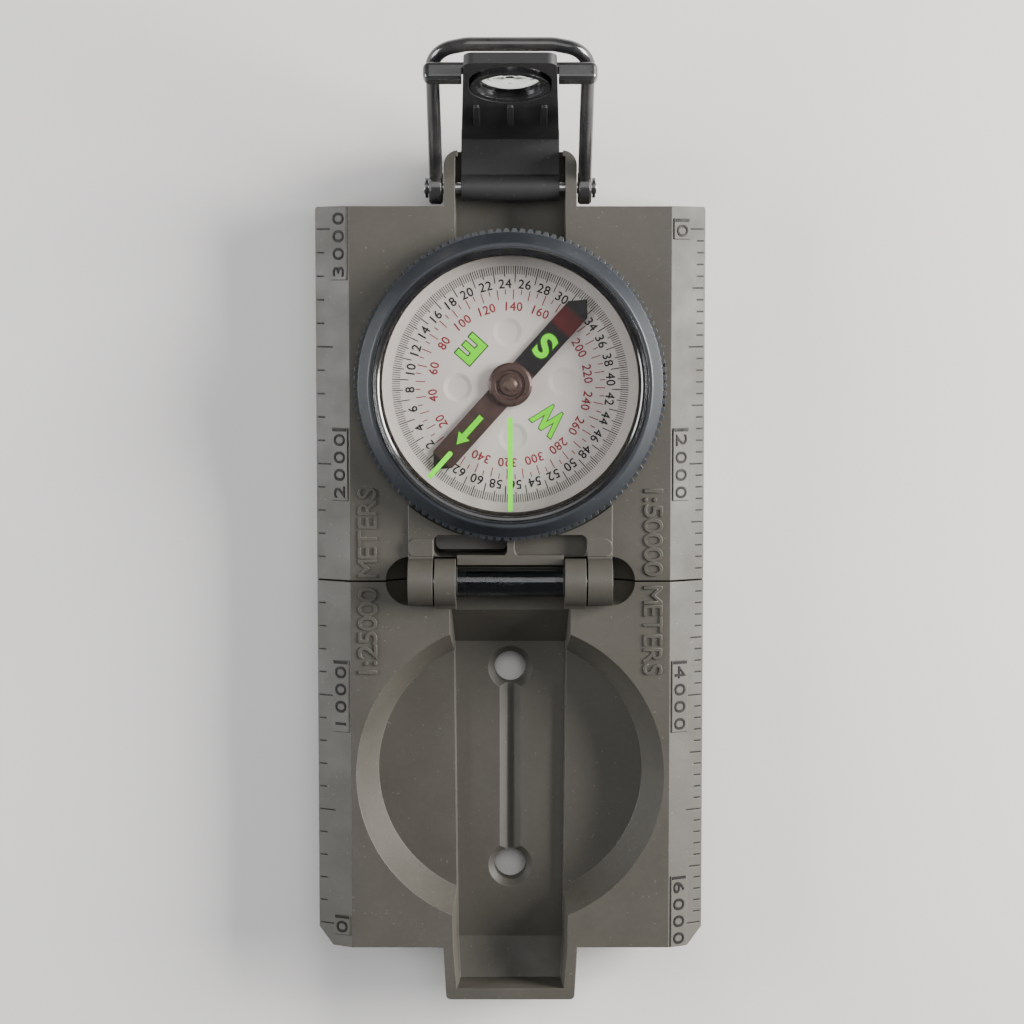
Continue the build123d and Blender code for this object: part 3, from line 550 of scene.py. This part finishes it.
def tick_length(side, index):
    """Length of a scale's mark: longer at each fifth, and longest at each tenth on the right."""
    if side < 0:
        return 3.1 * MM if index % 5 == 0 else 1.4 * MM
    if index % 10 == 0:
        return 2.9 * MM
    return 2.2 * MM if index % 5 == 0 else 1.35 * MM


def scale_paint(y_low, y_high):
    """Black paint in the engraved graduations between two limits."""
    bm = bmesh.new()
    for side, (spacing, _) in SIDES.items():
        zero = HINGE_Y + side * SCALE_LENGTH / 2
        for i in range(round(SCALE_LENGTH / spacing) + 1):
            y = zero - side * i * spacing
            if not y_low + TICK_CLEAR < y < y_high - TICK_CLEAR:
                continue
            length = tick_length(side, i)
            at = on_bevel(side, length / 2 + TICK_EDGE, y, -PAINT_DEPTH)
            add_block(bm, at, (length, TICK_WIDTH, PAINT_T))
    return bm


def label_places(y_low, y_high):
    """Side, text and middle of each number of the map scales between two limits."""
    for side, (_, step) in SIDES.items():
        zero = HINGE_Y + side * SCALE_LENGTH / 2
        for k in range(4):
            text = str(k * step)
            half = pad_half(text)
            y = zero - side * k * SCALE_LENGTH / 3
            # the last number of each scale moves in, so that its pad ends with the body
            y = min(max(y, LID_END + half), CASE_REAR - half)
            if y_low < y < y_high:
                yield side, text, y


def pad_half(text):
    """Half the length of the pad under a number."""
    return (DIGIT_PITCH * len(text) + 0.55 * MM) / 2


def pad_frame(side, y, lift):
    inward = HALF_WIDTH - PAD_INNER - PAD_WIDTH / 2
    return on_bevel(side, inward / math.cos(BEVEL_SLOPE), y, lift)


def scale_pads(y_low, y_high):
    """Raised pads, with softened edges, that carry the numbers."""
    bm = bmesh.new()
    for side, text, y in label_places(y_low, y_high):
        size = (PAD_WIDTH, 2 * pad_half(text), PAD_RISE + PAD_SINK)
        add_block(bm, pad_frame(side, y, (PAD_RISE - PAD_SINK) / 2), size)
    bmesh.ops.bevel(bm, geom=bm.edges, offset=PAD_SOFT, segments=2, affect="EDGES")
    return bm


def scale_digits(y_low, y_high):
    """Raised black numbers on the pads, their tops outward, with a bar at a pad's rear end where it fits."""
    bm = bmesh.new()
    for side, text, y in label_places(y_low, y_high):
        reading = Matrix.Rotation(-math.pi / 2, 4, "Z")
        place = pad_frame(side, y - DIGIT_BACK, PAD_RISE + 0.05 * MM) @ reading
        add_text(bm, text, place, DIGIT_H, DIGIT_PITCH, DIGIT_T, widen=1.55, resolution=6)
        rear = y + pad_half(text) - BAR_END
        if rear < CASE_REAR - 1.0 * MM:
            add_block(bm, pad_frame(side, rear, PAD_RISE), BAR)
    return bm


# ---- raised legends on the main faces ----
LEGEND_H = 3.1 * MM
LEGEND_INNER = 22.9 * MM
LEGEND_T = 0.16 * MM
CASE_LEGEND_Y = (-17.3 * MM, -32.7 * MM)
LID_LEGEND_Y = (-34.7 * MM, -50.1 * MM)
LEGEND_SLIM = 0.62
LEGEND_SOFT = 0.012            # rounding of the letters' edges, in the font's units


def legend(side, text, y_range):
    """A raised line of lettering along one side, its tops outward."""
    bm = bmesh.new()
    middle = Vector((side * (LEGEND_INNER + LEGEND_H / 2), sum(y_range) / 2, FACE_Z))
    slim_count = sum(character in SLIM for character in text)
    pitch = abs(y_range[0] - y_range[1]) / (len(text) - slim_count * (1 - LEGEND_SLIM))
    place = Matrix.Translation(middle) @ Matrix.Rotation(-side * math.pi / 2, 4, "Z")
    widen = 1.22 if slim_count else 1.05
    add_text(bm, text, place, LEGEND_H, pitch, 2 * LEGEND_T, widen=widen, resolution=4, slim=LEGEND_SLIM,
             soft=LEGEND_SOFT)
    return bm


# ---- the pieces' looks ----
olive = moulded("olive_body", OLIVE, OLIVE_DARK, OLIVE_WORN, 0.56)
olive_plate = moulded("olive_plate", (0.055, 0.051, 0.042), (0.043, 0.040, 0.033), OLIVE_WORN, 0.6,
                      0.016 * MM)
bezel_grey = moulded("bezel_grey", (0.024, 0.0275, 0.033), (0.017, 0.020, 0.025), (0.10, 0.107, 0.115), 0.36,
                     0.006 * MM, 0.5, 0.10 * MM)
strap_matte = moulded("strap_matte", (0.020, 0.020, 0.0205), (0.013, 0.013, 0.0135), (0.10, 0.10, 0.10), 0.55,
                      0.010 * MM, 0.45)
holder_black = gloss("holder_black", (0.016, 0.016, 0.017), (0.10, 0.10, 0.10), 0.26)
loop_black = gloss("loop_black", (0.012, 0.012, 0.013), (0.14, 0.13, 0.12), 0.2)
ring_black = gloss("ring_black", (0.006, 0.006, 0.007), (0.05, 0.05, 0.05), 0.14)
steel = metal("steel", (0.55, 0.55, 0.56), 0.3, (1, 1, 0.15), (0.32, 0.31, 0.30))
pin_steel = metal("pin_steel", (0.50, 0.50, 0.51), 0.28, (0.1, 1, 1), (0.28, 0.27, 0.26))
screw_steel = metal("screw_steel", (0.30, 0.30, 0.31), 0.36, (1, 1, 1), (0.16, 0.155, 0.15))
magnet_iron = metal("magnet_iron", (0.18, 0.18, 0.19), 0.5, (1, 1, 1), (0.10, 0.095, 0.09))
rubber = moulded("rubber", (0.022, 0.022, 0.022), (0.015, 0.015, 0.015), (0.06, 0.06, 0.06), 0.75,
                 0.010 * MM, 0.2)
crystal_glass = clear_glass("crystal_glass", (0.975, 0.97, 0.97))
window_glass = clear_glass("window_glass", (0.98, 0.975, 0.975), 1.4, 0.03)
lens_glass = solid_glass("lens_glass", (0.96, 0.98, 0.98))
# painted shade: the vial's glass is tinted grey and its fluid near black, standing in for the shade seen
# through the tube
vial_glass_painted_shade = solid_glass("vial_glass_painted_shade", (0.42, 0.47, 0.50), ripple=0.001 * MM)
vial_fluid = solid_glass("vial_fluid", (0.05, 0.07, 0.07), 0.03)
bowl_white = enamel("bowl_white", (0.70, 0.67, 0.62), (0.60, 0.57, 0.52))
card_dimples = [DIMPLE_AT * direction_of(NORTH_BEARING + 45 + 90 * turn) for turn in range(4)]
card_white = enamel("card_white", (0.80, 0.765, 0.715), (0.745, 0.71, 0.66), card_dimples)
pointer = pointer_paint("pointer_paint")
hub_brown = turned_metal("hub_brown", (0.105, 0.066, 0.055), (0.040, 0.026, 0.023))
jewel = turned_metal("jewel_brass", (0.16, 0.115, 0.085), (0.05, 0.035, 0.03), 8.0)
# painted glow on the card's letters and arrow, and on the index and bezel lines
lume = luminous("lume", LUME_GREEN, 0.7)
line_lume = luminous("line_lume", LUME_GREEN, 0.75)
# partly painted glow: the letters' dark outline ink is tinted green, standing in for the glow around the
# luminous letters
lume_outline_and_glow = ink("lume_outline_and_glow", (0.020, 0.085, 0.012), (0.06, 0.2, 0.03))
ink_black = ink("ink_black", (0.010, 0.010, 0.011), (0.08, 0.077, 0.074), 0.85)
ink_red = ink("ink_red", (0.31, 0.025, 0.036), (0.45, 0.15, 0.15), 0.85)
scale_black = ink("scale_black", (0.014, 0.013, 0.012), (0.06, 0.055, 0.05), gloss_level=0.12)

NODE_LOOKS = {
    "case_body": olive, "lid_shell": olive, "base_plate": olive_plate, "base_screws": screw_steel,
    "capsule_bowl": bowl_white, "capsule_gasket": rubber, "capsule_window": window_glass,
    "index_line": line_lume, "pivot_post": steel, "filler_plug": rubber, "bezel_retainer": steel,
    "click_spring": steel, "hinge_pins": pin_steel, "rear_pin": pin_steel, "rear_pin_clips": loop_black,
    "bezel_ring": bezel_grey, "bezel_crystal": crystal_glass, "crystal_retaining_ring": ring_black,
    "bezel_line": line_lume, "card_disc": card_white, "pointer_bar": pointer, "bar_magnet": magnet_iron,
    "hub_cap": hub_brown, "jewel_bearing": jewel, "lens_strap": strap_matte, "lens_holder": holder_black,
    "magnifier_lens": lens_glass, "lens_retaining_ring": ring_black, "thumb_loop": loop_black,
    "level_vial": vial_glass_painted_shade, "vial_liquid": vial_fluid, "vial_plugs": rubber,
}
for node, material in NODE_LOOKS.items():
    mesh = frame["nodes"][node].data
    mesh.materials.clear()
    mesh.materials.append(material)

# ---- the added pieces ----
finish_piece("mil_printing", mil_printing(), "card", ink_black)
finish_piece("degree_printing", degree_printing(), "card", ink_red)
finish_piece("letter_edges_and_glow", card_marks(OUTLINE_BOLD, OUTLINE, 0.0), "card", lume_outline_and_glow)
finish_piece("luminous_letters", card_marks(LETTER_BOLD, 0.0, PRINT_T), "card", lume)

for body, low, high in (("case", HINGE_Y, CASE_REAR), ("lid", LID_END, HINGE_Y)):
    finish_piece(f"{body}_scale_paint", scale_paint(low, high), body, scale_black)
    finish_piece(f"{body}_scale_pads", scale_pads(low, high), body, olive)
    finish_piece(f"{body}_scale_numbers", scale_digits(low, high), body, scale_black)

for name, body, side, text, y_range in (
    ("case_unit_legend", "case", -1, "METERS", CASE_LEGEND_Y),
    ("case_ratio_legend", "case", 1, "1:50000", CASE_LEGEND_Y),
    ("lid_ratio_legend", "lid", -1, "1:25000", LID_LEGEND_Y),
    ("lid_unit_legend", "lid", 1, "METERS", LID_LEGEND_Y),
):
    finish_piece(name, legend(side, text, y_range), body, olive)


# ---- stage, light and camera ----
LIT_POINT = (0, -30 * MM, 10 * MM)                 # where the lights point
CAMERA_PLACE = (0.29 * MM, 17.6 * MM, 462.5 * MM)
CAMERA_TIP = math.radians(-4.99)                   # from straight down, about X
CAMERA_LENS = 93.0                                 # on a sensor 36 wide, in millimetres
FLOOR_DROP = 0.05 * MM                             # the floor lies this far under the base


def floor():
    """A plain pale floor under the compass."""
    mesh = bpy.data.meshes.new("floor")
    half = 3.0
    corners = [(x * half, y * half, -FLOOR_DROP) for x, y in ((-1, -1), (1, -1), (1, 1), (-1, 1))]
    mesh.from_pydata(corners, [], [(0, 1, 2, 3)])
    look = Look("floor", (0.72, 0.71, 0.69), 0.8)
    clouds = look.remap(look.noise(14, 4.0), 0.3, 0.7)
    look.put("Base Color", look.mix(clouds, (0.70, 0.69, 0.67), (0.74, 0.73, 0.71)))
    mesh.materials.append(look.material)
    plane = bpy.data.objects.new("floor", mesh)
    bpy.context.scene.collection.objects.link(plane)


def area_light(name, place, target, size, power, color):
    light = bpy.data.lights.new(name, "AREA")
    light.shape = "RECTANGLE"
    light.size, light.size_y = size
    light.energy = power
    light.color = color
    lamp = bpy.data.objects.new(name, light)
    bpy.context.scene.collection.objects.link(lamp)
    lamp.location = place
    lamp.rotation_mode = "QUATERNION"
    lamp.rotation_quaternion = (Vector(target) - Vector(place)).to_track_quat("-Z", "Y")


def world():
    """Dim even light from all round."""
    sky = bpy.data.worlds.new("studio")
    sky.use_nodes = True
    back = sky.node_tree.nodes["Background"]
    back.inputs["Color"].default_value = (0.93, 0.95, 1.0, 1.0)
    back.inputs["Strength"].default_value = 0.17
    bpy.context.scene.world = sky


def camera():
    """Looks down from above the dial, tipped a little towards the lid."""
    data = bpy.data.cameras.new("camera")
    data.lens = CAMERA_LENS
    data.sensor_width = 36.0
    data.clip_start, data.clip_end = 0.01, 20.0
    eye = bpy.data.objects.new("camera", data)
    eye.location = CAMERA_PLACE
    eye.rotation_euler = (CAMERA_TIP, 0, 0)
    bpy.context.scene.collection.objects.link(eye)
    bpy.context.scene.camera = eye


floor()
world()
for name, place, size, power, color in (
    ("key", (0.60, 0.10, 0.24), (0.40, 0.26), 16.0, (1.0, 0.985, 0.96)),
    ("left_fill", (-0.60, 0.02, 0.22), (0.40, 0.24), 5.0, (0.97, 0.98, 1.0)),
    ("top_fill", (0.12, 0.25, 0.75), (0.6, 0.5), 2.2, (1.0, 0.99, 0.98)),
):
    area_light(name, place, LIT_POINT, size, power, color)
camera()
